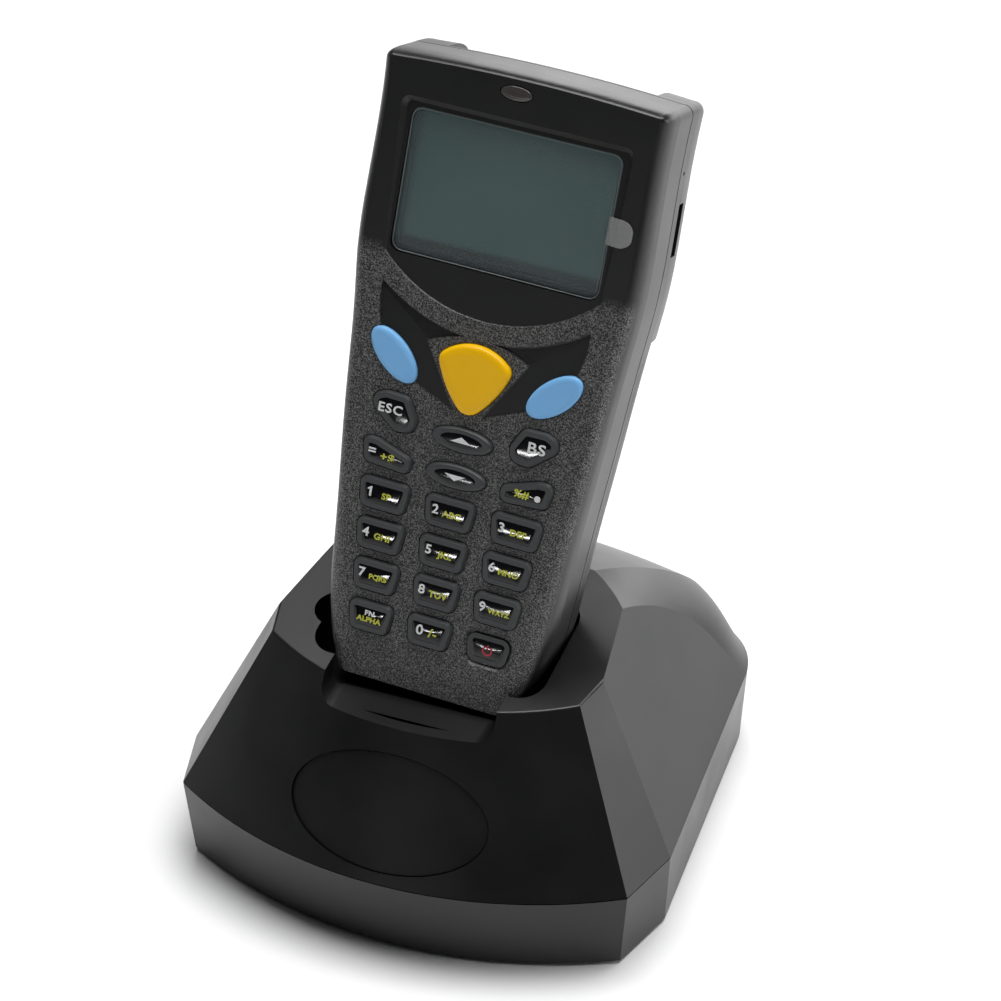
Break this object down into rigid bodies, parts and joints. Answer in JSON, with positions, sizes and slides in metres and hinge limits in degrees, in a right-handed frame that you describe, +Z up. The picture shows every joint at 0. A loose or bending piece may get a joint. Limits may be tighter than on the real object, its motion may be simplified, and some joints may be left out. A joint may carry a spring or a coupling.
{
  "type": "personal digital assistant",
  "caption": "Handheld data terminal with a small display and keypad, leaning in its desktop charging cradle; the terminal lifts out and every key presses.",
  "frame": {"origin": "on the floor under the middle of the whole object's bounding box", "axes": "+Z up, the front with the keypad faces -Y, +X is to the right seen from the front"},
  "size_m": [0.1014, 0.107, 0.1597],
  "materials": {
    "case_black": "fine satin",
    "key_rubber": "soft satin",
    "key_yellow": "satin",
    "key_blue": "satin",
    "key_black": "gloss",
    "clear_window": "clear",
    "film": "clear film",
    "lcd": "satin",
    "lens": "gloss",
    "dark_red": "gloss",
    "board_green": "solder mask",
    "steel": "bare",
    "gold": "plated",
    "cell_wrap": "wrapped",
    "foot_rubber": "matt",
    "label_grey": "matt",
    "insulator": "matt"
  },
  "bodies": {
    "cradle": {"base_housing": "case_black", "top_housing": "case_black", "badge_plate": "case_black", "cradle_board": "board_green", "pin_block": "insulator", "pocket_window": "dark_red", "serial_socket": "insulator", "dc_jack": "insulator", "ballast_plate": "steel", "blank_label": "label_grey", "rubber_feet": "foot_rubber", "base_screws": "steel"},
    "pins": {"charge_pins": "gold"},
    "terminal": {"battery_cover": "case_black", "bay_contacts": "steel", "beeper": "insulator", "board_link": "insulator", "case_screws": "steel", "cells": "cell_wrap", "charge_studs": "gold", "display_window": "clear_window", "engine_frame": "steel", "foot_window": "dark_red", "front_case": "case_black", "keypad_board": "board_green", "lcd_module": "lcd", "led_lens": "lens", "main_board": "board_green", "rear_case": "case_black", "scan_engine": "insulator", "scan_window": "dark_red", "screen_film": "film", "shield_can": "steel", "snap_domes": "steel"},
    "key_0": {"key_0": "key_rubber"},
    "key_1": {"key_1": "key_rubber"},
    "key_2": {"key_2": "key_rubber"},
    "key_3": {"key_3": "key_rubber"},
    "key_4": {"key_4": "key_rubber"},
    "key_5": {"key_5": "key_rubber"},
    "key_6": {"key_6": "key_rubber"},
    "key_7": {"key_7": "key_rubber"},
    "key_8": {"key_8": "key_rubber"},
    "key_9": {"key_9": "key_rubber"},
    "key_blue_left": {"key_blue_left": "key_blue"},
    "key_blue_right": {"key_blue_right": "key_blue"},
    "key_bs": {"key_bs": "key_rubber"},
    "key_down": {"key_down": "key_rubber"},
    "key_equal": {"key_equal": "key_rubber"},
    "key_esc": {"key_esc": "key_rubber"},
    "key_fn": {"key_fn": "key_rubber"},
    "key_percent": {"key_percent": "key_rubber"},
    "key_power": {"key_power": "key_black"},
    "key_scan": {"key_scan": "key_yellow"},
    "key_up": {"key_up": "key_rubber"}
  },
  "joints": [
    {"name": "terminal_lift", "type": "slide", "parent": "cradle", "child": "terminal", "axis": [0.0513, 0.3406, 0.9388], "range_m": [0, 0.03]},
    {"name": "charge_pins_press", "type": "slide", "parent": "cradle", "child": "pins", "axis": [0, -0.341, -0.9401], "range_m": [0, 0.0008], "stiffness_N_per_m": 400, "springref_m": -0.0005},
    {"name": "key_0_press", "type": "slide", "parent": "terminal", "child": "key_0", "axis": [0, 0.9401, -0.341], "range_m": [0, 0.0008], "stiffness_N_per_m": 1200, "springref_m": -0.0004},
    {"name": "key_1_press", "type": "slide", "parent": "terminal", "child": "key_1", "axis": [0, 0.9401, -0.341], "range_m": [0, 0.0008], "stiffness_N_per_m": 1200, "springref_m": -0.0004},
    {"name": "key_2_press", "type": "slide", "parent": "terminal", "child": "key_2", "axis": [0, 0.9401, -0.341], "range_m": [0, 0.0008], "stiffness_N_per_m": 1200, "springref_m": -0.0004},
    {"name": "key_3_press", "type": "slide", "parent": "terminal", "child": "key_3", "axis": [0, 0.9401, -0.341], "range_m": [0, 0.0008], "stiffness_N_per_m": 1200, "springref_m": -0.0004},
    {"name": "key_4_press", "type": "slide", "parent": "terminal", "child": "key_4", "axis": [0, 0.9401, -0.341], "range_m": [0, 0.0008], "stiffness_N_per_m": 1200, "springref_m": -0.0004},
    {"name": "key_5_press", "type": "slide", "parent": "terminal", "child": "key_5", "axis": [0, 0.9401, -0.341], "range_m": [0, 0.0008], "stiffness_N_per_m": 1200, "springref_m": -0.0004},
    {"name": "key_6_press", "type": "slide", "parent": "terminal", "child": "key_6", "axis": [0, 0.9401, -0.341], "range_m": [0, 0.0008], "stiffness_N_per_m": 1200, "springref_m": -0.0004},
    {"name": "key_7_press", "type": "slide", "parent": "terminal", "child": "key_7", "axis": [0, 0.9401, -0.341], "range_m": [0, 0.0008], "stiffness_N_per_m": 1200, "springref_m": -0.0004},
    {"name": "key_8_press", "type": "slide", "parent": "terminal", "child": "key_8", "axis": [0, 0.9401, -0.341], "range_m": [0, 0.0008], "stiffness_N_per_m": 1200, "springref_m": -0.0004},
    {"name": "key_9_press", "type": "slide", "parent": "terminal", "child": "key_9", "axis": [0, 0.9401, -0.341], "range_m": [0, 0.0008], "stiffness_N_per_m": 1200, "springref_m": -0.0004},
    {"name": "key_blue_left_press", "type": "slide", "parent": "terminal", "child": "key_blue_left", "axis": [0, 0.9401, -0.341], "range_m": [0, 0.0008], "stiffness_N_per_m": 1200, "springref_m": -0.0004},
    {"name": "key_blue_right_press", "type": "slide", "parent": "terminal", "child": "key_blue_right", "axis": [0, 0.9401, -0.341], "range_m": [0, 0.0008], "stiffness_N_per_m": 1200, "springref_m": -0.0004},
    {"name": "key_bs_press", "type": "slide", "parent": "terminal", "child": "key_bs", "axis": [0, 0.9401, -0.341], "range_m": [0, 0.0008], "stiffness_N_per_m": 1200, "springref_m": -0.0004},
    {"name": "key_down_press", "type": "slide", "parent": "terminal", "child": "key_down", "axis": [0, 0.9401, -0.341], "range_m": [0, 0.0008], "stiffness_N_per_m": 1200, "springref_m": -0.0004},
    {"name": "key_equal_press", "type": "slide", "parent": "terminal", "child": "key_equal", "axis": [0, 0.9401, -0.341], "range_m": [0, 0.0008], "stiffness_N_per_m": 1200, "springref_m": -0.0004},
    {"name": "key_esc_press", "type": "slide", "parent": "terminal", "child": "key_esc", "axis": [0, 0.9401, -0.341], "range_m": [0, 0.0008], "stiffness_N_per_m": 1200, "springref_m": -0.0004},
    {"name": "key_fn_press", "type": "slide", "parent": "terminal", "child": "key_fn", "axis": [0, 0.9401, -0.341], "range_m": [0, 0.0008], "stiffness_N_per_m": 1200, "springref_m": -0.0004},
    {"name": "key_percent_press", "type": "slide", "parent": "terminal", "child": "key_percent", "axis": [0, 0.9401, -0.341], "range_m": [0, 0.0008], "stiffness_N_per_m": 1200, "springref_m": -0.0004},
    {"name": "key_power_press", "type": "slide", "parent": "terminal", "child": "key_power", "axis": [0, 0.9401, -0.341], "range_m": [0, 0.0008], "stiffness_N_per_m": 1200, "springref_m": -0.0004},
    {"name": "key_scan_press", "type": "slide", "parent": "terminal", "child": "key_scan", "axis": [0, 0.9401, -0.341], "range_m": [0, 0.0008], "stiffness_N_per_m": 1200, "springref_m": -0.0004},
    {"name": "key_up_press", "type": "slide", "parent": "terminal", "child": "key_up", "axis": [0, 0.9401, -0.341], "range_m": [0, 0.0008], "stiffness_N_per_m": 1200, "springref_m": -0.0004}
  ]
}
